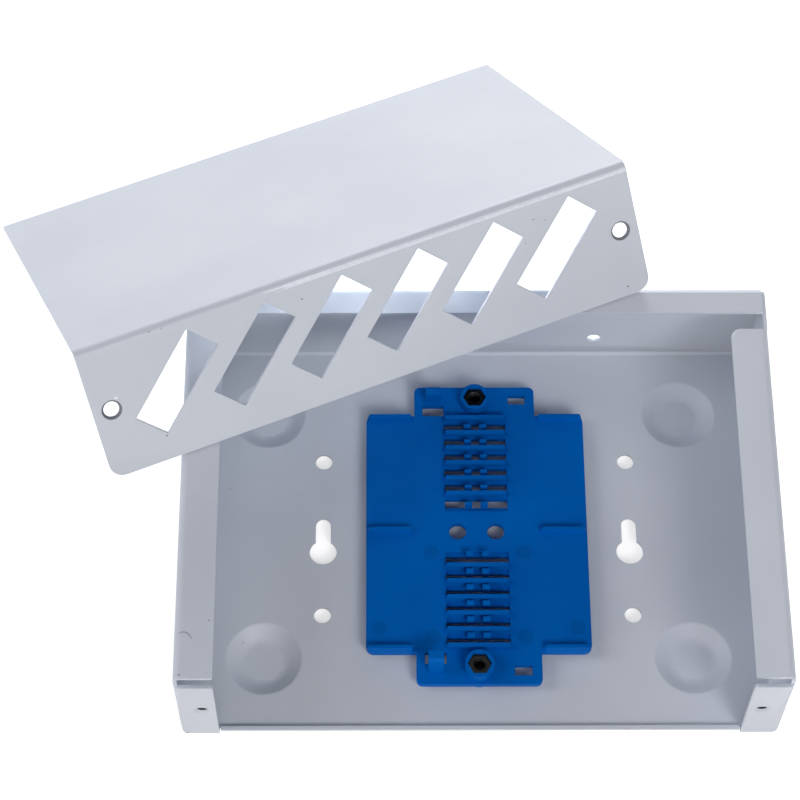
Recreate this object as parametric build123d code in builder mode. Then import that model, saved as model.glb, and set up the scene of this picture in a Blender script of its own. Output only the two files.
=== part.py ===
from build123d import *
from math import asin, atan2, cos, degrees, hypot, radians, sin
import os

os.makedirs("parts", exist_ok=True)

# millimetres, origin at the centre of the four wall holes on the outer face of the tray's base,
# +Z out of the wall, +Y towards the closed back wall, the open long side at -Y

# how close counts as the same place when edges are chosen
near = 0.001

# sheet metal shared by tray and cover
sheet = 1.0
bend_in = 1.0
bend_out = bend_in + sheet

# tray
tray_w = 154.4
tray_front = -55.3
tray_back = 57.5
tray_h = 35.5
side_flange_w = 9.9
side_flange_front = -54.25
side_flange_back = 44.7
side_flange_corner_r = 2.8
back_flange_w = 7.8
fold_gap = 0.3
raw_edge_drop = 0.9
raw_corner_r = 2.2

# front tabs, lip and the cover screws' threads
tab_w = 9.8
tab_slit = 4.1
tab_top = tray_h - tab_slit
tab_corner_r = 0.8
tab_bend_in = 0.3
tab_bend_out = tab_bend_in + sheet
lip_top = 2.5
lip_gap = 0.4
cover_thread_inset = 6.25
cover_thread_x = tray_w / 2 - cover_thread_inset
cover_thread_z = 16.1
thread_r = 1.3
dimple_r = 2.1
collar_r = 2.2
collar_l = 1.4

# wall fixing holes, keyholes and back wall holes
fix_dx = 82.3
fix_dy = 45.32
fix_r = 2.25
key_x = fix_dx / 2
key_head_y = -4.3
key_head_r = 3.6
key_slot_r = 2.0
key_slot_y = 5.6
entry_x = 33.2
entry_z = 9.4
entry_r = 1.9

# pressed feet
foot_x = 56.35
foot_y = (-35.0, 37.05)
foot_ring_r = 10.0
foot_disc_r = 6.0
foot_drop = 2.6
foot_blend = 0.8

# cover: closed, its top lies under the tray's flanges and its port panel in front of the tabs
slide_gap = 0.2
cover_side_gap = 0.25
cover_tuck = 2.0
cover_l = tray_w - 2 * (sheet + cover_side_gap)
cover_top_w = tray_back - back_flange_w + cover_tuck + sheet + slide_gap - tray_front
port_h = tray_h + foot_drop - sheet - 2 * slide_gap
port_corner_r = 3.8
cutout_l = 26.6
cutout_w = 9.6
cutout_tilt = 45
cutout_side = 23.025
cutout_count = 6
cutout_pitch = (cover_l - 2 * cutout_side) / (cutout_count - 1)
cutout_drop = 16.8
cover_hole_r = 2.05
cover_sink_r = 2.7
cover_hole_in = cover_l / 2 - cover_thread_x
cover_hole_drop = tray_h - sheet - slide_gap - cover_thread_z

# how the cover lies: turned about Z, port edge on the tray's flanges, back edge down at the feet plane
cover_yaw = 22.03
cover_corner_x = -102.63
cover_corner_y = 21.14

# splice plate
plate_y = -0.2
plate_z = 3.2
plate_t = 1.8
plate_top = plate_z + plate_t
plate_w = 59.1
plate_d = 69.6
plate_corner_r = 2.0
neck_w = 32.8
neck_d = 87.3
neck_corner_r = 1.6

# splice combs
rib_first = 9.97
rib_pitch = 4.58
rib_count = 6
rib_t = 1.2
rib_top_z = 7.1
rib_top_w = 16.0
rib_foot_w = 17.8
slot_w = 16.8
slot_start = 6.1
rib_root_t = 0.4
ledge_w = 1.1
ledge_t = 1.1
finger_x = 2.1
finger_w = 1.9
finger_in = 0.75
finger_out = 1.5
finger_nose = 1.9
finger_neck = 1.3
finger_neck_z = 5.6
finger_nose_z = 6.6
finger_top_z = 7.5

# end stops, hooks, slots and round holes of the splice plate
stop_x = 23.1
stop_l = 12.4
stop_w = 1.8
stop_top_z = 7.1
stop_draft = 12
hook_x = -11.35
hook_w = 4.0
hook_t = 1.2
hook_round = 1.05
hook_outer_y = 40.2
hook_reach = 2.9
hook_top_z = 12.5
hook_slot_w = 5.7
hook_slot_y = (34.8, 38.0)
tie_slot_x = 11.55
tie_slot_w = 4.6
tie_slot_y = (38.4, 41.2)
centre_hole_x = 5.1
centre_hole_r = 2.35

# sockets, standoffs and their screws
socket_y = 39.1
socket_r = 3.85
socket_top_z = 8.4
hex_flats = 5.5
hex_clearance = 0.1
standoff_h = 6.4
standoff_bevel = 0.3
m3_r = 1.5
m3_clearance = 0.02
screw_hole_r = 1.7
screw_len = 5.0
screw_head_r = 2.75
screw_head_h = 1.9
screw_head_bevel = 0.6
screw_drive_r = 1.1
screw_drive_depth = 1.0


# one pressed foot about its own axis, used four times in the tray
with BuildPart() as foot:
    with BuildSketch(Plane.XZ) as foot_profile:
        with BuildLine():
            Polyline(
                (0, -foot_drop),
                (foot_disc_r, -foot_drop),
                (foot_ring_r, 0),
                (foot_ring_r, sheet),
                (foot_disc_r, sheet - foot_drop),
                (0, sheet - foot_drop),
                close=True,
            )
        make_face()
        chamfer(foot_profile.vertices().filter_by(lambda v: abs(v.X - foot_disc_r) < near), foot_blend)
    revolve(axis=Axis.Z)

# tray
half_w = tray_w / 2
wall_in = half_w - sheet
floor_half = half_w - bend_out
floor_back = tray_back - bend_out
lip_half = half_w - tab_w - lip_gap
base_front = tray_front + sheet + fold_gap
wall_front = tray_front + tab_bend_out
lip_back = tray_front + bend_out
tab_outer = half_w - tab_bend_out
flange_bend_z = tray_h - bend_out
knee = sin(radians(45))
inner_knee = bend_in * knee
outer_knee = bend_out * knee
tab_knee = tab_corner_r * (1 - knee)

with BuildPart() as tray:
    # base sheet, reaching the lip's bend between the tabs
    with BuildSketch(Plane.XY):
        with BuildLine():
            Polyline(
                (-floor_half, base_front),
                (-lip_half, base_front),
                (-lip_half, lip_back),
                (lip_half, lip_back),
                (lip_half, base_front),
                (floor_half, base_front),
                (floor_half, floor_back),
                (-floor_half, floor_back),
                close=True,
            )
        make_face()
    extrude(amount=sheet)

    # side walls with their bends and flanges
    for side in (-1, 1):
        with BuildSketch(Plane.XZ.offset(-wall_front)):
            with BuildLine():
                Line((side * floor_half, 0), (side * floor_half, sheet))
                ThreePointArc(
                    (side * floor_half, sheet),
                    (side * (floor_half + inner_knee), bend_out - inner_knee),
                    (side * wall_in, bend_out),
                )
                Line((side * wall_in, bend_out), (side * wall_in, flange_bend_z))
                Line((side * wall_in, flange_bend_z), (side * half_w, flange_bend_z))
                Line((side * half_w, flange_bend_z), (side * half_w, bend_out))
                ThreePointArc(
                    (side * half_w, bend_out),
                    (side * (floor_half + outer_knee), bend_out - outer_knee),
                    (side * floor_half, 0),
                )
            make_face()
        extrude(amount=wall_front - tray_back)

        with BuildSketch(Plane.XZ.offset(-side_flange_front)):
            with BuildLine():
                Polyline(
                    (side * half_w, flange_bend_z),
                    (side * wall_in, flange_bend_z),
                )
                ThreePointArc(
                    (side * wall_in, flange_bend_z),
                    (side * (floor_half + inner_knee), flange_bend_z + inner_knee),
                    (side * floor_half, tray_h - sheet),
                )
                Polyline(
                    (side * floor_half, tray_h - sheet),
                    (side * (half_w - side_flange_w), tray_h - sheet),
                    (side * (half_w - side_flange_w), tray_h),
                    (side * floor_half, tray_h),
                )
                ThreePointArc(
                    (side * floor_half, tray_h),
                    (side * (floor_half + outer_knee), flange_bend_z + outer_knee),
                    (side * half_w, flange_bend_z),
                )
            make_face()
        extrude(amount=side_flange_front - side_flange_back)

        # raw top edge of the side wall behind the flange, rounded where it meets the back wall
        with Locations((side * (half_w - sheet / 2), side_flange_back, flange_bend_z)):
            Box(
                sheet,
                tray_back - side_flange_back,
                bend_out - raw_edge_drop,
                align=(Align.CENTER, Align.MIN, Align.MIN),
            )
        raw_corner = tray.edges().filter_by(Axis.X).filter_by(
            lambda e: side * e.center().X > wall_in
            and abs(e.center().Y - tray_back) < near
            and abs(e.center().Z - (tray_h - raw_edge_drop)) < near
        )
        fillet(raw_corner, raw_corner_r)

        # the wall's front part above the tab
        with Locations((side * (half_w - sheet / 2), side_flange_front, tab_top)):
            Box(
                sheet,
                wall_front - side_flange_front,
                flange_bend_z - tab_top,
                align=(Align.CENTER, Align.MIN, Align.MIN),
            )

        # front tab, joined to the wall by an upright bend
        with BuildSketch(Plane.XZ.offset(-tray_front)):
            with BuildLine():
                Polyline(
                    (side * tab_outer, 0),
                    (side * (half_w - tab_w), 0),
                    (side * (half_w - tab_w), tab_top - tab_corner_r),
                )
                ThreePointArc(
                    (side * (half_w - tab_w), tab_top - tab_corner_r),
                    (side * (half_w - tab_w + tab_knee), tab_top - tab_knee),
                    (side * (half_w - tab_w + tab_corner_r), tab_top),
                )
                Polyline(
                    (side * (half_w - tab_w + tab_corner_r), tab_top),
                    (side * tab_outer, tab_top),
                    (side * tab_outer, 0),
                )
            make_face()
        extrude(amount=-sheet)
        with BuildSketch(Plane.XY):
            with BuildLine():
                Line((side * tab_outer, tray_front), (side * tab_outer, tray_front + sheet))
                ThreePointArc(
                    (side * tab_outer, tray_front + sheet),
                    (side * (tab_outer + tab_bend_in * knee), wall_front - tab_bend_in * knee),
                    (side * wall_in, wall_front),
                )
                Line((side * wall_in, wall_front), (side * half_w, wall_front))
                ThreePointArc(
                    (side * half_w, wall_front),
                    (side * (tab_outer + tab_bend_out * knee), wall_front - tab_bend_out * knee),
                    (side * tab_outer, tray_front),
                )
            make_face()
        extrude(amount=tab_top)

        # the tab's lower corner follows the bend of the side wall
        with BuildSketch(Plane.XZ.offset(-tray_front)):
            with BuildLine():
                ThreePointArc(
                    (side * half_w, bend_out),
                    (side * (floor_half + outer_knee), bend_out - outer_knee),
                    (side * floor_half, 0),
                )
                Polyline((side * floor_half, 0), (side * half_w, 0), (side * half_w, bend_out))
            make_face()
        extrude(amount=-tab_bend_out, mode=Mode.SUBTRACT)

    # back wall with its bends and flange
    with BuildSketch(Plane.YZ.offset(-wall_in)):
        with BuildLine():
            Polyline((floor_back, 0), (floor_back, sheet))
            ThreePointArc(
                (floor_back, sheet),
                (floor_back + inner_knee, bend_out - inner_knee),
                (tray_back - sheet, bend_out),
            )
            Line((tray_back - sheet, bend_out), (tray_back - sheet, flange_bend_z))
            ThreePointArc(
                (tray_back - sheet, flange_bend_z),
                (floor_back + inner_knee, flange_bend_z + inner_knee),
                (floor_back, tray_h - sheet),
            )
            Polyline(
                (floor_back, tray_h - sheet),
                (tray_back - back_flange_w, tray_h - sheet),
                (tray_back - back_flange_w, tray_h),
                (floor_back, tray_h),
            )
            ThreePointArc(
                (floor_back, tray_h),
                (floor_back + outer_knee, flange_bend_z + outer_knee),
                (tray_back, flange_bend_z),
            )
            Line((tray_back, flange_bend_z), (tray_back, bend_out))
            ThreePointArc(
                (tray_back, bend_out),
                (floor_back + outer_knee, bend_out - outer_knee),
                (floor_back, 0),
            )
        make_face()
    extrude(amount=2 * wall_in)

    # low lip turned up between the tabs
    with BuildSketch(Plane.YZ.offset(-lip_half)):
        with BuildLine():
            Polyline((lip_back, sheet), (lip_back, 0))
            ThreePointArc(
                (lip_back, 0),
                (lip_back - outer_knee, bend_out - outer_knee),
                (tray_front, bend_out),
            )
            Polyline(
                (tray_front, bend_out),
                (tray_front, lip_top),
                (tray_front + sheet, lip_top),
                (tray_front + sheet, bend_out),
            )
            ThreePointArc(
                (tray_front + sheet, bend_out),
                (lip_back - inner_knee, bend_out - inner_knee),
                (lip_back, sheet),
            )
        make_face()
    extrude(amount=2 * lip_half)

    # rounded inner corners of the side flanges
    flange_corners = tray.edges().filter_by(Axis.Z).filter_by(
        lambda e: abs(abs(e.center().X) - (half_w - side_flange_w)) < near
        and abs(e.center().Y - side_flange_back) < near
    )
    fillet(flange_corners, side_flange_corner_r)

    # pressed feet, hollow from inside
    foot_spots = [(sx * foot_x, fy) for sx in (-1, 1) for fy in foot_y]
    with BuildSketch(Plane.XY):
        with Locations(*foot_spots):
            Circle(foot_ring_r)
    extrude(amount=sheet, mode=Mode.SUBTRACT)
    with Locations(*[(fx, fy, 0) for fx, fy in foot_spots]):
        add(foot.part)

    # wall fixing holes, keyholes and holes for the standoff screws
    with BuildSketch(Plane.XY):
        with GridLocations(fix_dx, fix_dy, 2, 2):
            Circle(fix_r)
        for side in (-1, 1):
            with Locations((side * key_x, key_head_y)):
                Circle(key_head_r)
            with Locations((side * key_x, key_slot_y - key_slot_r)):
                Circle(key_slot_r)
            with Locations((side * key_x, (key_head_y + key_slot_y - key_slot_r) / 2)):
                Rectangle(2 * key_slot_r, key_slot_y - key_slot_r - key_head_y)
        with Locations((0, plate_y + socket_y), (0, plate_y - socket_y)):
            Circle(screw_hole_r)
    extrude(amount=sheet, mode=Mode.SUBTRACT)

    # holes in the back wall
    with BuildSketch(Plane.XZ.offset(-tray_back)):
        with Locations((-entry_x, entry_z), (entry_x, entry_z)):
            Circle(entry_r)
    extrude(amount=sheet, mode=Mode.SUBTRACT)

    # threaded holes in the tabs, drawn inwards as collars
    tab_plane = Plane.XZ.offset(-tray_front)
    thread_spots = [(-cover_thread_x, cover_thread_z), (cover_thread_x, cover_thread_z)]
    with BuildSketch(tab_plane):
        with Locations(*thread_spots):
            Circle(collar_r)
    extrude(amount=-(sheet + collar_l))
    with BuildSketch(tab_plane):
        with Locations(*thread_spots):
            Circle(thread_r)
    extrude(amount=-(sheet + collar_l), mode=Mode.SUBTRACT)
    with BuildSketch(tab_plane):
        with Locations(*thread_spots):
            Circle(dimple_r)
    extrude(amount=-(dimple_r - thread_r), taper=45, mode=Mode.SUBTRACT)

tray.part.label = "housing_tray"

# cover: lies with its inner port edge on the flanges and its inner back edge in the feet plane
arm_long = cover_top_w - sheet
arm_short = port_h - sheet
cover_tilt = degrees(
    asin((tray_h + foot_drop) / hypot(arm_long, arm_short)) + atan2(arm_short, arm_long)
)
tilt = radians(cover_tilt)
yaw = radians(cover_yaw)
cover_corner_z = tray_h + port_h * cos(tilt) + sheet * sin(tilt)
cover_u = Vector(cos(yaw), sin(yaw), 0)
cover_v = Vector(-sin(yaw) * cos(tilt), cos(yaw) * cos(tilt), -sin(tilt))
cover_w = cover_u.cross(cover_v)
cover_corner = Vector(cover_corner_x, cover_corner_y, cover_corner_z)
end_plane = Plane(origin=cover_corner, x_dir=cover_v, z_dir=cover_u)
port_plane = Plane(origin=cover_corner, x_dir=cover_u, z_dir=cover_v * -1)

with BuildPart() as cover:
    with BuildSketch(end_plane):
        with BuildLine():
            Polyline((bend_out, 0), (cover_top_w, 0), (cover_top_w, -sheet), (bend_out, -sheet))
            ThreePointArc(
                (bend_out, -sheet),
                (bend_out - inner_knee, inner_knee - bend_out),
                (sheet, -bend_out),
            )
            Polyline((sheet, -bend_out), (sheet, -port_h), (0, -port_h), (0, -bend_out))
            ThreePointArc(
                (0, -bend_out),
                (bend_out - outer_knee, outer_knee - bend_out),
                (bend_out, 0),
            )
        make_face()
    extrude(amount=cover_l)

    # lower corners of the port panel
    port_corners = cover.edges().filter_by(
        lambda e: abs(e.length - sheet) < near
        and abs((e.center() - cover_corner).dot(cover_w) + port_h) < near
    )
    fillet(port_corners, port_corner_r)

    # slanted adapter cut-outs
    with BuildSketch(port_plane):
        for k in range(cutout_count):
            with Locations(Location((cutout_side + k * cutout_pitch, -cutout_drop, 0), (0, 0, cutout_tilt))):
                Rectangle(cutout_l, cutout_w)
    extrude(amount=-sheet, mode=Mode.SUBTRACT)

    # countersunk screw holes
    screw_spots = [(cover_hole_in, -cover_hole_drop), (cover_l - cover_hole_in, -cover_hole_drop)]
    with BuildSketch(port_plane):
        with Locations(*screw_spots):
            Circle(cover_hole_r)
    extrude(amount=-sheet, mode=Mode.SUBTRACT)
    with BuildSketch(port_plane):
        with Locations(*screw_spots):
            Circle(cover_sink_r)
    extrude(amount=-(cover_sink_r - cover_hole_r), taper=45, mode=Mode.SUBTRACT)

cover.part.label = "port_cover"

# splice plate
with BuildPart() as plate:
    with BuildSketch(Plane.XY.offset(plate_z)):
        with Locations((0, plate_y)):
            RectangleRounded(plate_w, plate_d, plate_corner_r)
            RectangleRounded(neck_w, neck_d, neck_corner_r)
    extrude(amount=plate_t)

    # combs of splice slots, one each side of the middle
    for side in (-1, 1):
        for k in range(rib_count):
            slot_in = rib_first + (k - 1) * rib_pitch + rib_t if k else slot_start
            slot_out = rib_first + k * rib_pitch
            with BuildSketch(Plane.XY.offset(plate_z)):
                with Locations((0, plate_y + side * (slot_in + slot_out - rib_root_t) / 2)):
                    Rectangle(slot_w, slot_out - rib_root_t - slot_in)
            extrude(amount=plate_t, mode=Mode.SUBTRACT)
            with BuildSketch(Plane.XY.offset(plate_z)):
                with Locations((0, plate_y + side * (slot_in + ledge_w / 2))):
                    Rectangle(slot_w, ledge_w)
            extrude(amount=ledge_t)
            with BuildSketch(Plane.XZ.offset(-(plate_y + side * (slot_out + rib_t / 2)))):
                with BuildLine():
                    Polyline(
                        (-rib_foot_w / 2, plate_z),
                        (rib_foot_w / 2, plate_z),
                        (rib_foot_w / 2, plate_top),
                        (rib_top_w / 2, rib_top_z),
                        (-rib_top_w / 2, rib_top_z),
                        (-rib_foot_w / 2, plate_top),
                        close=True,
                    )
                make_face()
            extrude(amount=rib_t / 2, both=True)
            for fx in (-finger_x, finger_x):
                with BuildSketch(Plane.YZ.offset(fx)):
                    with BuildLine():
                        start = plate_y + side * slot_in
                        Polyline(
                            (start + side * finger_in, plate_z),
                            (start + side * finger_neck, plate_z),
                            (start + side * finger_neck, finger_neck_z),
                            (start + side * finger_nose, finger_nose_z),
                            (start + side * finger_out, finger_top_z),
                            (start + side * finger_in, finger_top_z),
                            close=True,
                        )
                    make_face()
                extrude(amount=finger_w / 2, both=True)

    # end stops along both sides
    stop_edge = plate_d / 2 - stop_w / 2
    with BuildSketch(Plane.XY.offset(plate_top)):
        for stop_dy in (-stop_edge, 0, stop_edge):
            with Locations((-stop_x, plate_y + stop_dy), (stop_x, plate_y + stop_dy)):
                SlotOverall(stop_l, stop_w)
    extrude(amount=stop_top_z - plate_top, taper=stop_draft)

    # fibre hooks with their slots, plain tie slots and round holes
    for side in (-1, 1):
        with BuildSketch(Plane.XY.offset(plate_z)):
            with Locations((hook_x, plate_y + side * sum(hook_slot_y) / 2)):
                Rectangle(hook_slot_w, hook_slot_y[1] - hook_slot_y[0])
            with Locations((tie_slot_x, plate_y + side * sum(tie_slot_y) / 2)):
                Rectangle(tie_slot_w, tie_slot_y[1] - tie_slot_y[0])
        extrude(amount=plate_t, mode=Mode.SUBTRACT)
        with BuildSketch(Plane.YZ.offset(hook_x)) as hook_profile:
            with BuildLine():
                outer = plate_y + side * hook_outer_y
                Polyline(
                    (outer, plate_z),
                    (outer, hook_top_z),
                    (outer - side * hook_reach, hook_top_z),
                    (outer - side * hook_reach, hook_top_z - hook_t),
                    (outer - side * hook_t, hook_top_z - hook_t),
                    (outer - side * hook_t, plate_z),
                    close=True,
                )
            make_face()
            fillet(hook_profile.vertices().sort_by_distance((outer, hook_top_z, 0))[0], hook_round)
        extrude(amount=hook_w / 2, both=True)
    with BuildSketch(Plane.XY.offset(plate_z)):
        with Locations((-centre_hole_x, plate_y), (centre_hole_x, plate_y)):
            Circle(centre_hole_r)
    extrude(amount=plate_t, mode=Mode.SUBTRACT)

    # sockets stand on the floor of the tray and hold the standoffs
    with BuildSketch(Plane.XY.offset(sheet)):
        with Locations((0, plate_y + socket_y), (0, plate_y - socket_y)):
            Circle(socket_r)
    extrude(amount=socket_top_z - sheet)
    with BuildSketch(Plane.XY.offset(sheet)):
        with Locations((0, plate_y + socket_y), (0, plate_y - socket_y)):
            RegularPolygon((hex_flats + hex_clearance) / 2, 6, major_radius=False)
    extrude(amount=socket_top_z - sheet, mode=Mode.SUBTRACT)

plate.part.label = "splice_plate"


def standoff(y, label):
    # hexagonal, with a through thread, standing on the tray's floor
    with BuildPart() as post:
        with BuildSketch(Plane.XY.offset(sheet)):
            with Locations((0, y)):
                RegularPolygon(hex_flats / 2, 6, major_radius=False)
                Circle(m3_r, mode=Mode.SUBTRACT)
        extrude(amount=standoff_h)
        mouths = post.edges().filter_by(GeomType.CIRCLE).group_by(Axis.Z)[-1]
        chamfer(mouths, standoff_bevel)
    post.part.label = label
    return post.part


def standoff_screw(y, label):
    # low head, entering a standoff through the base from behind
    with BuildPart() as screw:
        with BuildSketch(Plane.XY):
            with Locations((0, y)):
                Circle(screw_head_r)
        extrude(amount=-screw_head_h)
        chamfer(screw.edges().group_by(Axis.Z)[0], screw_head_bevel)
        with BuildSketch(Plane.XY):
            with Locations((0, y)):
                Circle(m3_r - m3_clearance)
        extrude(amount=screw_len)
        with BuildSketch(Plane.XY.offset(-screw_head_h)):
            with Locations((0, y)):
                RegularPolygon(screw_drive_r, 6, major_radius=False)
        extrude(amount=screw_drive_depth, mode=Mode.SUBTRACT)
    screw.part.label = label
    return screw.part


pieces = [tray.part, cover.part, plate.part]
for end, word in ((1, "upper"), (-1, "lower")):
    pieces.append(standoff(plate_y + end * socket_y, "standoff_" + word))
    pieces.append(standoff_screw(plate_y + end * socket_y, "standoff_screw_" + word))

for piece in pieces:
    export_step(piece, "parts/" + piece.label + ".step")
    print(piece.label, piece.is_valid, round(piece.volume, 1), piece.bounding_box())
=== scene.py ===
import bpy
import bmesh
import math
from mathutils import Euler, Matrix, Vector, geometry


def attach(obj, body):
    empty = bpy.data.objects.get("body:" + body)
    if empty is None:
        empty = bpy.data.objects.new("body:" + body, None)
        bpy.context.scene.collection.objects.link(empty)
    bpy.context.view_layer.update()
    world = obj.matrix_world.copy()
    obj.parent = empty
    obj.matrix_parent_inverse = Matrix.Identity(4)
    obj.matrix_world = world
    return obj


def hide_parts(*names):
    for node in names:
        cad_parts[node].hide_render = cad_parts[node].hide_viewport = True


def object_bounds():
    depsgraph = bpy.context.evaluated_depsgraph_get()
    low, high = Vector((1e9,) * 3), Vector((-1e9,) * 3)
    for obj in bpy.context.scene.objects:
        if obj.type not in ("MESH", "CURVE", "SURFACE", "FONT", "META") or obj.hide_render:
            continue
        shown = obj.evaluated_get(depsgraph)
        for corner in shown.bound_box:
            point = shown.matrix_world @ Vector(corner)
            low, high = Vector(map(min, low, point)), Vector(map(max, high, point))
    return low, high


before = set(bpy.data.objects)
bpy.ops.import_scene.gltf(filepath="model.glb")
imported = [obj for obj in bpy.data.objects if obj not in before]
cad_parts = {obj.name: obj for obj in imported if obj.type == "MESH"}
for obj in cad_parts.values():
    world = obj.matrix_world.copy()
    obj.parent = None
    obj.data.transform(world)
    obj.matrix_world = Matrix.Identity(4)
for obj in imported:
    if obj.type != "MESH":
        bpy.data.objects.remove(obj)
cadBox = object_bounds()
print("frame loaded")

scene = bpy.context.scene
for stale in [o for o in scene.objects if o.type in {"LIGHT", "CAMERA"}]:
    bpy.data.objects.remove(stale)


def toLinear(level):
    share = level / 255
    return ((share + 0.055) / 1.055) ** 2.4 if level > 10 else share / 12.92


def srgb(r, g, b):
    return (toLinear(r), toLinear(g), toLinear(b), 1.0)


# camera, fitted to the corners of the tray and the cover
camera = {
    "place": (-0.02497, -0.28355, 0.61348),
    "right": (1.0, -0.0043, 0.0053),
    "down": (-0.0013, -0.8832, -0.4691),
    "focal": 2506.0,  # pixels in a picture 800 wide
    "picture": 800,
    "sensor": 36.0,
    "nearest": 0.01,
}


def makeCamera(c):
    data = bpy.data.cameras.new("photoCamera")
    data.sensor_width = c["sensor"]
    data.lens = c["focal"] / c["picture"] * c["sensor"]
    data.clip_start = c["nearest"]
    cam = bpy.data.objects.new("photoCamera", data)
    right = Vector(c["right"]).normalized()
    down = Vector(c["down"])
    down = (down - right * right.dot(down)).normalized()
    back = right.cross(-down)
    cam.matrix_world = Matrix((
        (right.x, -down.x, back.x, c["place"][0]),
        (right.y, -down.y, back.y, c["place"][1]),
        (right.z, -down.z, back.z, c["place"][2]),
        (0, 0, 0, 1),
    ))
    scene.collection.objects.link(cam)
    scene.camera = cam


makeCamera(camera)
print("camera set")

# how the cover lies: its upper left bend corner, along the bend, down the top panel, out of the top panel
cover = {
    "corner": Vector((-0.10263, 0.02114, 0.064988)),
    "along": Vector((0.92699, 0.37509, 0.0)),
    "depth": Vector((-0.29507, 0.72922, -0.61739)),
    "out": Vector((-0.23158, 0.57231, 0.78666)),
}


def onPort(along, drop, proud=0.0):
    return cover["corner"] + cover["along"] * along - cover["out"] * drop - cover["depth"] * proud


# threaded holes of the front tabs, countersunk holes of the cover, standoffs of the splice plate
tabThreads = [(-0.07095, -0.0541, 0.0161), (0.07095, -0.0541, 0.0161)]
coverHoles = [tuple(onPort(0.005, 0.0182)), tuple(onPort(0.1469, 0.0182))]
standoffs = [(0.0, 0.0389, 0.0), (0.0, -0.0393, 0.0)]


# material helpers
band = {"low": 0.35, "high": 0.65, "wideLow": 0.3, "wideHigh": 0.7}  # where most of a noise lies
boreFade = 1.05


def newMaterial(name):
    mat = bpy.data.materials.new(name)
    mat.use_nodes = True
    nodes, links = mat.node_tree.nodes, mat.node_tree.links
    nodes.clear()
    out = nodes.new("ShaderNodeOutputMaterial")
    shader = nodes.new("ShaderNodeBsdfPrincipled")
    links.new(shader.outputs[0], out.inputs[0])
    coord = nodes.new("ShaderNodeTexCoord")
    return mat, nodes, links, shader, coord


def noise(nodes, links, coord, scale, detail=2.0, rough=0.5):
    n = nodes.new("ShaderNodeTexNoise")
    n.inputs["Scale"].default_value = scale
    n.inputs["Detail"].default_value = detail
    n.inputs["Roughness"].default_value = rough
    links.new(coord.outputs["Object"], n.inputs["Vector"])
    return n.outputs["Fac"]


def ramp(nodes, links, fac, low, high, a, b):
    m = nodes.new("ShaderNodeMapRange")
    m.inputs["From Min"].default_value = low
    m.inputs["From Max"].default_value = high
    m.inputs["To Min"].default_value = a
    m.inputs["To Max"].default_value = b
    links.new(fac, m.inputs["Value"])
    return m.outputs["Result"]


def spreadOut(nodes, links, fac):
    return ramp(nodes, links, fac, band["low"], band["high"], 0.0, 1.0)


def times(nodes, links, a, b):
    m = nodes.new("ShaderNodeMath")
    m.operation = "MULTIPLY"
    links.new(a, m.inputs[0])
    links.new(b, m.inputs[1])
    return m.outputs[0]


def mixColour(nodes, links, fac, a, b):
    m = nodes.new("ShaderNodeMix")
    m.data_type = "RGBA"
    links.new(fac, m.inputs["Factor"])
    colourA, colourB, colourResult = 6, 7, 2
    for i, v in ((colourA, a), (colourB, b)):
        if isinstance(v, tuple):
            m.inputs[i].default_value = v
        else:
            links.new(v, m.inputs[i])
    return m.outputs[colourResult]


def bump(nodes, links, height, strength, distance):
    b = nodes.new("ShaderNodeBump")
    b.inputs["Strength"].default_value = strength
    b.inputs["Distance"].default_value = distance
    links.new(height, b.inputs["Height"])
    return b.outputs["Normal"]


def boreMask(nodes, links, coord, place, axis, edge, soft, reach):
    # 1 inside the radius edge about the axis, fading over soft, and only within reach of the place
    shift = nodes.new("ShaderNodeVectorMath")
    shift.operation = "SUBTRACT"
    links.new(coord.outputs["Object"], shift.inputs[0])
    shift.inputs[1].default_value = place
    across = nodes.new("ShaderNodeVectorMath")
    across.operation = "CROSS_PRODUCT"
    links.new(shift.outputs[0], across.inputs[0])
    across.inputs[1].default_value = axis
    measured = []
    for source in (across, shift):
        size = nodes.new("ShaderNodeVectorMath")
        size.operation = "LENGTH"
        links.new(source.outputs[0], size.inputs[0])
        measured.append(size.outputs["Value"])
    inBore = ramp(nodes, links, measured[0], edge, edge + soft, 1.0, 0.0)
    isNear = ramp(nodes, links, measured[1], reach, reach * boreFade, 1.0, 0.0)
    return times(nodes, links, inBore, isNear)


# powder coat of the tray and the cover
coat = {
    "colour": srgb(207, 213, 221),
    "shade": srgb(201, 207, 216),
    "cloudScale": 22.0,
    "roughness": 0.46,
    "ior": 1.42,
    "peelScale": 1400.0,
    "peelDepth": 0.00004,
    "peelStrength": 0.22,
    # painted shade: bare steel of the tab bores, darkened further where the bores lie deep in shadow
    "boreSteelShade": srgb(38, 39, 42),
    # painted shade on the countersink cones of the cover holes
    "sinkShade": srgb(112, 115, 122),
}


def makeCoat(name, c, bores):
    mat, nodes, links, shader, coord = newMaterial(name)
    cloud = spreadOut(nodes, links, noise(nodes, links, coord, c["cloudScale"], 3.0))
    colour = mixColour(nodes, links, cloud, c["colour"], c["shade"])
    for b in bores:
        mask = boreMask(nodes, links, coord, b["place"], b["axis"], b["edge"], b["soft"], b["reach"])
        colour = mixColour(nodes, links, mask, colour, b["colour"])
    links.new(colour, shader.inputs["Base Color"])
    shader.inputs["Roughness"].default_value = c["roughness"]
    shader.inputs["IOR"].default_value = c["ior"]
    peel = noise(nodes, links, coord, c["peelScale"], 2.0)
    links.new(bump(nodes, links, peel, c["peelStrength"], c["peelDepth"]), shader.inputs["Normal"])
    return mat


# blue moulded plastic of the splice plate
bluePlastic = {
    "colour": srgb(0, 99, 187),
    "shade": srgb(0, 93, 178),
    "cloudScale": 45.0,
    "roughness": 0.36,
    "ior": 1.4,
    "grainScale": 2600.0,
    "grainDepth": 0.00003,
    "grainStrength": 0.15,
    "specular": 0.05,
}
markPlastic = dict(bluePlastic, colour=srgb(0, 92, 174), shade=srgb(0, 87, 165), roughness=0.28)


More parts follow.
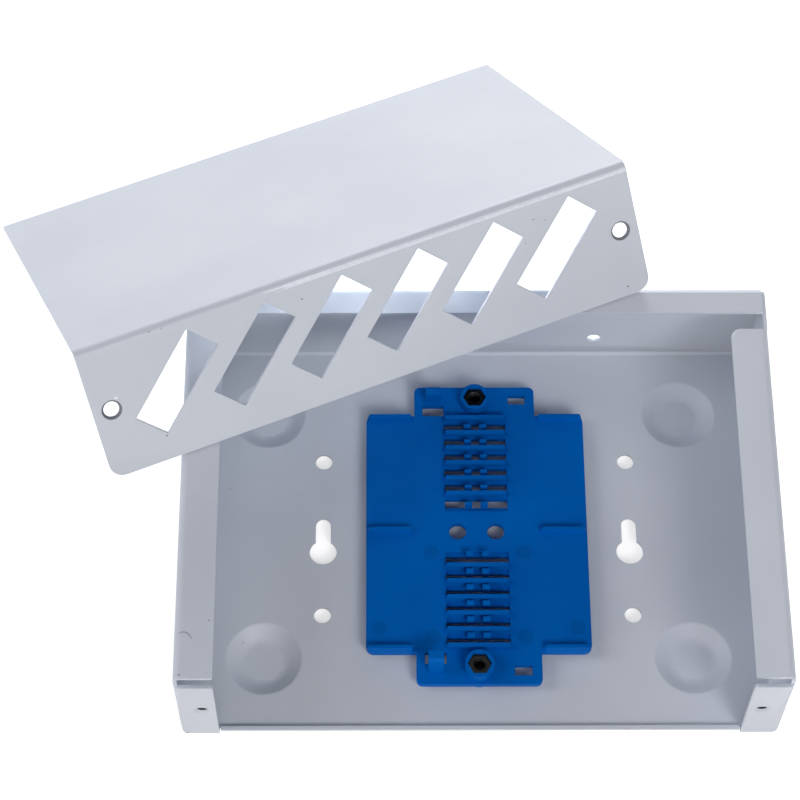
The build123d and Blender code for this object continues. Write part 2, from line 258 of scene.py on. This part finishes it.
def makeBlue(name, c):
    mat, nodes, links, shader, coord = newMaterial(name)
    cloud = spreadOut(nodes, links, noise(nodes, links, coord, c["cloudScale"], 2.0))
    links.new(mixColour(nodes, links, cloud, c["colour"], c["shade"]), shader.inputs["Base Color"])
    shader.inputs["Roughness"].default_value = c["roughness"]
    shader.inputs["IOR"].default_value = c["ior"]
    shader.inputs["Specular IOR Level"].default_value = c["specular"]
    grain = noise(nodes, links, coord, c["grainScale"], 2.0)
    links.new(bump(nodes, links, grain, c["grainStrength"], c["grainDepth"]), shader.inputs["Normal"])
    return mat


# metals and small marks, each with two colours that a fine noise mixes
metals = {
    "blackMetal": {
        "colour": srgb(9, 9, 10), "worn": srgb(16, 16, 18), "roughness": 0.16, "metallic": 0.0,
        "specular": 0.2,
    },
    # zinc of the standoff screws, with painted shade on their shanks inside the standoffs
    "zincAndShankShade": {
        "colour": srgb(176, 178, 182), "worn": srgb(150, 152, 156), "roughness": 0.32, "metallic": 1.0,
    },
    # tab threads: steel coloured near-black as painted shade of the deep bores
    "threadSteelShade": {"colour": srgb(34, 34, 37), "worn": srgb(52, 52, 56), "roughness": 0.4, "metallic": 0.6},
    "dust": {"colour": srgb(128, 134, 146), "worn": srgb(150, 156, 168), "roughness": 0.8, "metallic": 0.0},
    "scuff": {"colour": srgb(150, 156, 168), "worn": srgb(166, 172, 184), "roughness": 0.6, "metallic": 0.0},
    # lighter coat: painted highlight on the cover's crease, and the bright speck by its left screw hole
    "lighterCoat": {
        "colour": srgb(232, 237, 245), "worn": srgb(222, 228, 238), "roughness": 0.4, "metallic": 0.0,
    },
}
grainOfMetal = {"scale": 900.0, "least": 0.8, "most": 1.25, "specular": 0.5}


def makeMetal(name, c, paintedShadeBores=()):
    mat, nodes, links, shader, coord = newMaterial(name)
    worn = noise(nodes, links, coord, grainOfMetal["scale"], 3.0)
    colour = mixColour(nodes, links, spreadOut(nodes, links, worn), c["colour"], c["worn"])
    # painted shade on the masked bores
    for b in paintedShadeBores:
        mask = boreMask(nodes, links, coord, b["place"], b["axis"], b["edge"], b["soft"], b["reach"])
        colour = mixColour(nodes, links, mask, colour, b["colour"])
    links.new(colour, shader.inputs["Base Color"])
    shader.inputs["Metallic"].default_value = c["metallic"]
    shader.inputs["Specular IOR Level"].default_value = c.get("specular", grainOfMetal["specular"])
    low, high = c["roughness"] * grainOfMetal["least"], c["roughness"] * grainOfMetal["most"]
    rough = ramp(nodes, links, worn, band["wideLow"], band["wideHigh"], low, high)
    links.new(rough, shader.inputs["Roughness"])
    return mat


frontAxis = (0.0, 1.0, 0.0)
upAxis = (0.0, 0.0, 1.0)
# tab bores: bare steel coloured near-black, partly painted shade of the bores' depth
tabBores = [
    {"place": p, "axis": frontAxis, "edge": 0.00134, "soft": 0.00005, "reach": 0.004,
     "colour": coat["boreSteelShade"]}
    for p in tabThreads
]
# countersinks of the cover holes: painted shade where their cones lie in shadow
sinkShadeRings = [
    {"place": p, "axis": tuple(cover["depth"]), "edge": 0.0026, "soft": 0.00015, "reach": 0.005,
     "colour": coat["sinkShade"]}
    for p in coverHoles
]
# screw shanks inside the standoffs: painted shade, near-black where they lie deep in shadow
shankShadeBores = [
    {"place": (x, y, 0.004), "axis": upAxis, "edge": 0.002, "soft": 0.0001, "reach": 0.0035,
     "colour": metals["blackMetal"]["colour"]}
    for x, y, z in standoffs
]
trayMat = makeCoat("trayCoat", coat, tabBores)
coverMat = makeCoat("coverCoat", coat, sinkShadeRings)
blueMat = makeBlue("bluePlastic", bluePlastic)
markMat = makeBlue("ejectorPlastic", markPlastic)
metalMats = {
    name: makeMetal(name, c, shankShadeBores if name == "zincAndShankShade" else ())
    for name, c in metals.items()
}
finishes = {
    "housing_tray": trayMat,
    "port_cover": coverMat,
    "splice_plate": blueMat,
    "standoff_upper": metalMats["blackMetal"],
    "standoff_lower": metalMats["blackMetal"],
    "standoff_screw_upper": metalMats["zincAndShankShade"],
    "standoff_screw_lower": metalMats["zincAndShankShade"],
}
for node, mat in finishes.items():
    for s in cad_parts[node].material_slots:
        s.material = mat
print("materials made")


def link(name, mesh):
    piece = bpy.data.objects.new(name, mesh)
    scene.collection.objects.link(piece)
    return piece


def plainMesh(piece):
    # what the modifiers make of the piece, as an ordinary mesh
    depsgraph = bpy.context.evaluated_depsgraph_get()
    mesh = bpy.data.meshes.new_from_object(piece.evaluated_get(depsgraph), depsgraph=depsgraph)
    mesh.name = piece.name
    piece.modifiers.clear()
    piece.data = mesh


# pieces with softened edges that stand for the CAD nodes
dress = {
    "housing_tray": {"name": "dressedTray", "soften": 0.00022, "slot": "powder_coat"},
    "port_cover": {"name": "dressedCover", "soften": 0.0002, "slot": "powder_coat"},
    "splice_plate": {"name": "dressedPlate", "soften": 0.00016, "slot": "blue_plastic"},
    "standoff_upper": {"name": "dressedStandoffUpper", "soften": 0.00012, "slot": "black_metal"},
    "standoff_lower": {"name": "dressedStandoffLower", "soften": 0.00012, "slot": "black_metal"},
}
softening = {
    "merge": 0.000002,
    "fillGap": 0.0001,
    "stitch": 0.000001,
    "flat": math.radians(0.6),
    "sharp": math.radians(38),
    "footSpots": [(sx * 0.05635, y) for sx in (-1, 1) for y in (-0.035, 0.03705)],
    "footRing": 0.01,
    "footSlack": 0.00006,
    "footSoften": 0.0012,
    "footSharp": math.radians(20),
    "footSteps": 4,
    "steps": 2,
    "roundProfile": 0.5,
    "faceWeight": 100,
}


def isFootRing(edge, s):
    middle = (edge.verts[0].co + edge.verts[1].co) / 2
    away = [math.hypot(middle.x - x, middle.y - y) for x, y in s["footSpots"]]
    return any(abs(d - s["footRing"]) < s["footSlack"] for d in away)


def fillFlats(form, gap):
    # many-cornered flat faces, some round cut-outs, become triangles that keep every corner
    toMillimetres, insideTriangles = 1000, 1
    for face in [f for f in form.faces if len(f.verts) > 4]:
        normal = face.normal.copy()
        turn = normal.to_track_quat("Z", "Y")
        level = (turn.inverted() @ face.verts[0].co).z
        flat = [(turn.inverted() @ v.co).to_2d() * toMillimetres for v in face.verts]
        outline = list(range(len(flat)))
        filled = geometry.delaunay_2d_cdt(flat, [], [outline], insideTriangles, gap)
        corners, triangles, origins = filled[0], filled[2], filled[3]
        old = list(face.verts)
        verts = [
            old[origins[i][0]] if origins[i]
            else form.verts.new(turn @ Vector((p.x / toMillimetres, p.y / toMillimetres, level)))
            for i, p in enumerate(corners)
        ]
        form.faces.remove(face)
        for triangle in triangles:
            a, b, c = (verts[i] for i in triangle)
            if (b.co - a.co).cross(c.co - a.co).dot(normal) < 0:
                b, c = c, b
            if len({a, b, c}) == 3 and form.faces.get((a, b, c)) is None:
                form.faces.new((a, b, c))


def softCopy(node, c, s):
    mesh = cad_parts[node].data.copy()
    mesh.name = c["name"]
    form = bmesh.new()
    form.from_mesh(mesh)
    bmesh.ops.remove_doubles(form, verts=form.verts, dist=s["merge"])
    bmesh.ops.dissolve_limit(
        form, angle_limit=s["flat"], verts=form.verts, edges=form.edges, use_dissolve_boundaries=False
    )
    if node == "housing_tray":
        rings = [e for e in form.edges if isFootRing(e, s) and e.calc_face_angle(0.0) > s["footSharp"]]
        bmesh.ops.bevel(
            form, geom=rings, offset=s["footSoften"], offset_type="WIDTH", segments=s["footSteps"],
            profile=s["roundProfile"], affect="EDGES", clamp_overlap=True,
        )
    sharp = [e for e in form.edges if len(e.link_faces) == 2 and e.calc_face_angle(0.0) > s["sharp"]]
    bmesh.ops.bevel(
        form, geom=sharp, offset=c["soften"], offset_type="WIDTH", segments=s["steps"],
        profile=s["roundProfile"], affect="EDGES", clamp_overlap=True, harden_normals=False,
        miter_outer="ARC",
    )
    fillFlats(form, s["fillGap"])
    bmesh.ops.remove_doubles(form, verts=form.verts, dist=s["stitch"])
    for f in form.faces:
        f.smooth = True
    form.to_mesh(mesh)
    form.free()
    mesh.materials.clear()
    mesh.materials.append(finishes[node])
    piece = link(c["name"], mesh)
    weighted = piece.modifiers.new("weighted", "WEIGHTED_NORMAL")
    weighted.weight = s["faceWeight"]
    plainMesh(piece)
    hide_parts(node)
    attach(piece, "root")


for node, c in dress.items():
    softCopy(node, c, softening)
print("pieces dressed")


# Geometry Nodes helpers
def newTree(name, inputs):
    tree = bpy.data.node_groups.new(name, "GeometryNodeTree")
    tree.interface.new_socket("Geometry", in_out="INPUT", socket_type="NodeSocketGeometry")
    for label, kind in inputs:
        tree.interface.new_socket(label, in_out="INPUT", socket_type=kind)
    tree.interface.new_socket("Geometry", in_out="OUTPUT", socket_type="NodeSocketGeometry")
    return tree, tree.nodes, tree.links, tree.nodes.new("NodeGroupInput"), tree.nodes.new("NodeGroupOutput")


def endTree(nodes, links, source, groupIn, groupOut):
    real = nodes.new("GeometryNodeRealizeInstances")
    paint = nodes.new("GeometryNodeSetMaterial")
    links.new(source, real.inputs["Geometry"])
    links.new(real.outputs["Geometry"], paint.inputs["Geometry"])
    links.new(groupIn.outputs["Material"], paint.inputs["Material"])
    links.new(paint.outputs["Geometry"], groupOut.inputs["Geometry"])


def growPiece(name, points, tree, values):
    # one vertex for each place, the tree sets its shape on every one of them
    mesh = bpy.data.meshes.new(name)
    mesh.from_pydata([tuple(p) for p in points], [], [])
    piece = bpy.data.objects.new(name, mesh)
    grow = piece.modifiers.new("grow", "NODES")
    grow.node_group = tree
    for item in tree.interface.items_tree:
        if item.item_type == "SOCKET" and item.in_out == "INPUT" and item.name in values:
            grow[item.identifier] = values[item.name]
    scene.collection.objects.link(piece)
    plainMesh(piece)
    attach(piece, "root")
    return piece


# threads of the front tabs and of the standoffs
thread = {
    "tab": {
        "radius": 0.00132, "pitch": 0.0005, "turns": 4.4, "depth": 0.00022,
        "turn": (math.radians(90), 0.0, 0.0),
    },
    "standoff": {"radius": 0.00152, "pitch": 0.0005, "turns": 2.4, "depth": 0.00022, "turn": (0.0, 0.0, 0.0)},
    "steps": 24,
    "profile": 4,
    "standoffStart": 0.0058,
}


def threadTree():
    tree, nodes, links, groupIn, groupOut = newTree("threadHelix", (
        ("Radius", "NodeSocketFloat"), ("Rise", "NodeSocketFloat"), ("Turns", "NodeSocketFloat"),
        ("Depth", "NodeSocketFloat"), ("Steps", "NodeSocketInt"), ("Profile", "NodeSocketInt"),
        ("Turn", "NodeSocketVector"), ("Material", "NodeSocketMaterial"),
    ))
    spiral = nodes.new("GeometryNodeCurveSpiral")
    links.new(groupIn.outputs["Steps"], spiral.inputs["Resolution"])
    links.new(groupIn.outputs["Turns"], spiral.inputs["Rotations"])
    links.new(groupIn.outputs["Radius"], spiral.inputs["Start Radius"])
    links.new(groupIn.outputs["Radius"], spiral.inputs["End Radius"])
    links.new(groupIn.outputs["Rise"], spiral.inputs["Height"])
    ring = nodes.new("GeometryNodeCurvePrimitiveCircle")
    links.new(groupIn.outputs["Profile"], ring.inputs["Resolution"])
    links.new(groupIn.outputs["Depth"], ring.inputs["Radius"])
    tube = nodes.new("GeometryNodeCurveToMesh")
    links.new(spiral.outputs["Curve"], tube.inputs["Curve"])
    links.new(ring.outputs["Curve"], tube.inputs["Profile Curve"])
    tube.inputs["Fill Caps"].default_value = True
    place = nodes.new("GeometryNodeInstanceOnPoints")
    links.new(groupIn.outputs["Geometry"], place.inputs["Points"])
    links.new(tube.outputs["Mesh"], place.inputs["Instance"])
    links.new(groupIn.outputs["Turn"], place.inputs["Rotation"])
    endTree(nodes, links, place.outputs["Instances"], groupIn, groupOut)
    return tree


def threadValues(c, mat):
    return {
        "Radius": c["radius"], "Rise": c["pitch"] * c["turns"], "Turns": c["turns"], "Depth": c["depth"],
        "Steps": thread["steps"], "Profile": thread["profile"], "Turn": c["turn"], "Material": mat,
    }


helix = threadTree()
rise = thread["tab"]["pitch"] * thread["tab"]["turns"]
tabStarts = [(x, y + rise, z) for x, y, z in tabThreads]
# the tab threads take the steel with painted bore shade
growPiece("tabThreads", tabStarts, helix, threadValues(thread["tab"], metalMats["threadSteelShade"]))
postStarts = [(x, y, thread["standoffStart"]) for x, y, z in standoffs]
growPiece(
    "standoffThreads", postStarts, helix, threadValues(thread["standoff"], metalMats["blackMetal"]),
)
print("threads cut")

# round marks that the ejector pins left on the splice plate, from its middle
ejector = {
    "middle": -0.0002,
    "face": 0.005,
    "spots": [
        (0.0123, -0.0061), (-0.0123, -0.0061), (0.0122, -0.0305), (-0.0122, -0.0305), (0.026, -0.0279),
        (-0.026, -0.0279),
    ],
    "radius": 0.0021,
    "proud": 0.00003,
    "sides": 40,
}


def discTree():
    tree, nodes, links, groupIn, groupOut = newTree("lowDisc", (
        ("Radius", "NodeSocketFloat"), ("Height", "NodeSocketFloat"), ("Sides", "NodeSocketInt"),
        ("Material", "NodeSocketMaterial"),
    ))
    disc = nodes.new("GeometryNodeMeshCylinder")
    links.new(groupIn.outputs["Sides"], disc.inputs["Vertices"])
    links.new(groupIn.outputs["Radius"], disc.inputs["Radius"])
    links.new(groupIn.outputs["Height"], disc.inputs["Depth"])
    place = nodes.new("GeometryNodeInstanceOnPoints")
    links.new(groupIn.outputs["Geometry"], place.inputs["Points"])
    links.new(disc.outputs["Mesh"], place.inputs["Instance"])
    endTree(nodes, links, place.outputs["Instances"], groupIn, groupOut)
    return tree


growPiece(
    "ejectorMarks",
    [(x, y + ejector["middle"], ejector["face"]) for x, y in ejector["spots"]],
    discTree(),
    {
        "Radius": ejector["radius"], "Height": ejector["proud"] * 2, "Sides": ejector["sides"],
        "Material": markMat,
    },
)

# specks of dust, on the tray's flange and base and on the cover's port panel
dust = {
    "onTray": [
        (-0.07543, -0.05329, 0.0355), (-0.06856, -0.03876, 0.0355), (-0.0666, 0.01446, 0.001),
        (-0.06196, -0.03001, -0.0001), (-0.07565, -0.0553, 0.00082),
    ],
    "onPort": [
        (0.01644, 0.03006), (0.12432, 0.00692), (0.12732, 0.00812), (0.12076, 0.01258), (0.14566, 0.03418),
        (0.02297, 0.00165), (0.01985, 0.00135), (0.05977, 0.00659),
    ],
    "size": 0.00026,
    "width": 0.8,
    "least": 0.7,
    "most": 1.3,
    "flatness": 0.35,
    "seed": 7,
}


def speckTree():
    tree, nodes, links, groupIn, groupOut = newTree("dustSpeck", (
        ("Size", "NodeSocketFloat"), ("Least", "NodeSocketFloat"), ("Most", "NodeSocketFloat"),
        ("Width", "NodeSocketFloat"), ("Flatness", "NodeSocketFloat"), ("Tilt", "NodeSocketVector"),
        ("Seed", "NodeSocketInt"), ("Material", "NodeSocketMaterial"),
    ))
    grain = nodes.new("GeometryNodeMeshIcoSphere")
    grain.inputs["Subdivisions"].default_value = 2
    links.new(groupIn.outputs["Size"], grain.inputs["Radius"])
    squeeze = nodes.new("ShaderNodeCombineXYZ")
    squeeze.inputs["X"].default_value = 1.0
    links.new(groupIn.outputs["Width"], squeeze.inputs["Y"])
    links.new(groupIn.outputs["Flatness"], squeeze.inputs["Z"])
    flatten = nodes.new("GeometryNodeTransform")
    links.new(grain.outputs["Mesh"], flatten.inputs["Geometry"])
    links.new(squeeze.outputs[0], flatten.inputs["Scale"])
    vary = nodes.new("FunctionNodeRandomValue")
    vary.data_type = "FLOAT"
    links.new(groupIn.outputs["Least"], vary.inputs[2])
    links.new(groupIn.outputs["Most"], vary.inputs[3])
    links.new(groupIn.outputs["Seed"], vary.inputs["Seed"])
    place = nodes.new("GeometryNodeInstanceOnPoints")
    links.new(groupIn.outputs["Geometry"], place.inputs["Points"])
    links.new(flatten.outputs["Geometry"], place.inputs["Instance"])
    links.new(groupIn.outputs["Tilt"], place.inputs["Rotation"])
    links.new(vary.outputs[1], place.inputs["Scale"])
    endTree(nodes, links, place.outputs["Instances"], groupIn, groupOut)
    return tree


speck = speckTree()
portTilt = (-cover["depth"]).to_track_quat("Z", "Y").to_euler()


def speckValues(c, tilt, mat):
    return {
        "Size": c["size"], "Least": c["least"], "Most": c["most"], "Width": c["width"],
        "Flatness": c["flatness"], "Tilt": tuple(tilt), "Seed": c["seed"], "Material": mat,
    }


flatTilt = Euler((0, 0, 0))
growPiece("trayDust", dust["onTray"], speck, speckValues(dust, flatTilt, metalMats["dust"]))
growPiece(
    "coverDust", [onPort(a, d) for a, d in dust["onPort"]], speck,
    speckValues(dust, portTilt, metalMats["dust"]),
)

# small lighter speck beside the cover's left screw hole
brightSpeck = {
    "along": 0.00699,
    "drop": 0.01547,
    "size": 0.00055,
    "width": 0.8,
    "least": 1.0,
    "most": 1.0,
    "flatness": 0.12,
    "seed": 1,
}
growPiece(
    "coverBrightSpeck", [onPort(brightSpeck["along"], brightSpeck["drop"])], speck,
    speckValues(brightSpeck, portTilt, metalMats["lighterCoat"]),
)
print("marks and dust laid")

# line that the press brake left below the cover's bend, strongest at the right end; its lighter colour is a
# painted highlight
crease = {
    "start": 0.05,
    "end": 0.1516,
    "full": 0.1,
    "top": 0.0013,
    "crest": 0.00172,
    "foot": 0.0026,
    "proud": 0.00014,
    "edge": 0.1,
    "steps": 48,
    "sunk": 0.00006,
    "bend": 0.002,
}


def bendFace(drop, c):
    # how far the bend falls back from the port panel's plane at this drop
    return c["bend"] - math.sqrt(max(c["bend"] ** 2 - max(c["bend"] - drop, 0.0) ** 2, 0.0))


def makeCrease(c, mat):
    verts, faces = [], []
    for i in range(c["steps"] + 1):
        along = c["start"] + (c["end"] - c["start"]) * i / c["steps"]
        height = c["proud"] * min(1.0, max(0.0, (along - c["start"]) / (c["full"] - c["start"])))
        crest = height - bendFace(c["crest"], c)
        section = (
            (c["top"], -bendFace(c["top"], c) - c["sunk"]),
            (c["top"], -bendFace(c["top"], c) + height * c["edge"]),
            (c["crest"], crest),
            (c["foot"], height * c["edge"]),
            (c["foot"], -c["sunk"]),
        )
        for drop, proud in section:
            verts.append(tuple(onPort(along, drop, proud)))
    row = len(section)
    for i in range(c["steps"]):
        for j in range(row):
            a, b = i * row + j, i * row + (j + 1) % row
            faces.append((a, b, b + row, a + row))
    faces.append(tuple(range(row))[::-1])
    faces.append(tuple(c["steps"] * row + j for j in range(row)))
    mesh = bpy.data.meshes.new("coverCrease")
    mesh.from_pydata(verts, [], faces)
    form = bmesh.new()
    form.from_mesh(mesh)
    bmesh.ops.recalc_face_normals(form, faces=form.faces)
    form.to_mesh(mesh)
    form.free()
    mesh.materials.append(mat)
    piece = link("coverCrease", mesh)
    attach(piece, "root")


# painted highlight: the crease is coloured lighter than the coat
makeCrease(crease, metalMats["lighterCoat"])

# curved scuff on the left flange
scuff = {
    "points": [
        (-0.07601, -0.04225), (-0.07511, -0.04179), (-0.07411, -0.04193), (-0.07321, -0.04265),
        (-0.07242, -0.044),
    ],
    "face": 0.0355,
    "width": 0.00022,
    "height": 0.00004,
    "endWidth": 0.25,
    "roundness": 2,
}


def makeScuff(c, mat):
    curve = bpy.data.curves.new("flangeScuff", "CURVE")
    curve.dimensions = "3D"
    line = curve.splines.new("NURBS")
    line.points.add(len(c["points"]) - 1)
    for i, (x, y) in enumerate(c["points"]):
        line.points[i].co = (x, y, c["face"], 1.0)
        line.points[i].radius = 1.0 if 0 < i < len(c["points"]) - 1 else c["endWidth"]
    line.order_u = 3
    line.use_endpoint_u = True
    curve.bevel_depth = c["width"]
    curve.bevel_resolution = c["roundness"]
    temporary = bpy.data.objects.new("flangeScuff", curve)
    scene.collection.objects.link(temporary)
    depsgraph = bpy.context.evaluated_depsgraph_get()
    mesh = bpy.data.meshes.new_from_object(temporary.evaluated_get(depsgraph), depsgraph=depsgraph)
    bpy.data.objects.remove(temporary)
    for vert in mesh.vertices:
        vert.co.z = c["face"] + (vert.co.z - c["face"]) * c["height"] / c["width"]
    mesh.materials.clear()
    mesh.materials.append(mat)
    piece = link("flangeScuff", mesh)
    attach(piece, "root")


makeScuff(scuff, metalMats["scuff"])
print("crease and scuff made")

# floor, world and lamps
stage = {
    "floorColour": (0.85, 0.85, 0.85, 1),
    "floorRoughness": 0.9,
    "floorHalf": 4.0,
    "floorDrop": 0.00005,
    "floorLift": 0.6,  # near the object, where its shadow stays
    "farLift": 1.0,
    "nearEnd": 0.5,
    "farStart": 1.1,
    "backdrop": (1.0, 1.0, 1.0, 1.0),
    "aim": (0.0, 0.03, 0.02),
    "spread": math.radians(180),
    "lamps": {
        "backLow": {"place": (0.0, 1.8, 0.35), "size": 1.0, "power": 27.0, "colour": (1.0, 1.0, 1.02)},
        "backRight": {"place": (1.3, 1.0, 0.7), "size": 0.9, "power": 2.5, "colour": (0.95, 1.0, 1.15)},
        "left": {"place": (-1.7, 0.0, 0.5), "size": 0.9, "power": 5.0, "colour": (1.02, 1.0, 1.02)},
        "leftHigh": {"place": (-1.3, 0.0, 1.2), "size": 0.9, "power": 5.6, "colour": (0.99, 0.99, 1.09)},
        "cameraSide": {"place": (0.0, -1.1, 1.3), "size": 1.0, "power": 5.4, "colour": (1.02, 0.99, 1.02)},
        "cameraRight": {"place": (0.5, -0.9, 0.9), "size": 0.5, "power": 6.4, "colour": (1.01, 0.99, 1.01)},
        "frontLeft": {"place": (-1.3, -1.1, 0.35), "size": 0.9, "power": 6.6, "colour": (1.04, 1.0, 0.97)},
        "frontRightLow": {"place": (1.4, -1.4, 0.12), "size": 0.5, "power": 3.0, "colour": (1.05, 1.0, 0.9)},
        "tableFront": {
            "place": (0.3, -0.35, 0.9), "size": 0.3, "power": 8.0, "colour": (1.0, 1.0, 1.0),
            "aim": (0.3, -0.37, 0.0), "spread": math.radians(25),
        },
        "underCover": {
            "place": (-0.035, 0.09, 0.003), "size": 0.05, "power": 0.08, "colour": (1.0, 1.0, 1.0),
            "aim": (-0.035, 0.085, 0.2),
        },
    },
}


def seenDirectly(nodes, links, path):
    # 1 for the camera's rays and for those that gloss and glass send on
    total = path.outputs["Is Camera Ray"]
    for name in ("Is Glossy Ray", "Is Transmission Ray"):
        m = nodes.new("ShaderNodeMath")
        m.operation = "MAXIMUM"
        links.new(total, m.inputs[0])
        links.new(path.outputs[name], m.inputs[1])
        total = m.outputs[0]
    return total


def makeStage(c):
    mesh = bpy.data.meshes.new("floor")
    r, z = c["floorHalf"], cadBox[0].z - c["floorDrop"]
    mesh.from_pydata([(-r, -r, z), (r, -r, z), (r, r, z), (-r, r, z)], [], [(0, 1, 2, 3)])
    floor = link("floor", mesh)
    mat, nodes, links, shader, coord = newMaterial("paleFloor")
    shader.inputs["Base Color"].default_value = c["floorColour"]
    shader.inputs["Roughness"].default_value = c["floorRoughness"]
    path = nodes.new("ShaderNodeLightPath")
    white = nodes.new("ShaderNodeEmission")
    away = nodes.new("ShaderNodeVectorMath")
    away.operation = "LENGTH"
    links.new(coord.outputs["Object"], away.inputs[0])
    distance = away.outputs["Value"]
    lift = ramp(nodes, links, distance, c["nearEnd"], c["farStart"], c["floorLift"], c["farLift"])
    links.new(times(nodes, links, seenDirectly(nodes, links, path), lift), white.inputs[1])
    both = nodes.new("ShaderNodeAddShader")
    links.new(shader.outputs[0], both.inputs[0])
    links.new(white.outputs[0], both.inputs[1])
    links.new(both.outputs[0], next(n for n in nodes if n.type == "OUTPUT_MATERIAL").inputs[0])
    mesh.materials.append(mat)

    world = bpy.data.worlds.new("studio")
    scene.world = world
    world.use_nodes = True
    nodes, links = world.node_tree.nodes, world.node_tree.links
    sky = nodes["Background"]
    sky.inputs["Color"].default_value = c["backdrop"]
    path = nodes.new("ShaderNodeLightPath")
    links.new(seenDirectly(nodes, links, path), sky.inputs["Strength"])
    for name, lamp in c["lamps"].items():
        data = bpy.data.lights.new(name, "AREA")
        data.shape = "DISK"
        data.size = lamp["size"]
        data.energy = lamp["power"]
        data.color = lamp["colour"]
        obj = bpy.data.objects.new(name, data)
        obj.location = lamp["place"]
        data.spread = lamp.get("spread", c["spread"])
        towards = Vector(lamp.get("aim", c["aim"])) - obj.location
        obj.rotation_euler = towards.to_track_quat("-Z", "Y").to_euler()
        scene.collection.objects.link(obj)


makeStage(stage)
scene.view_settings.view_transform = "Standard"
print("stage and lamps set")
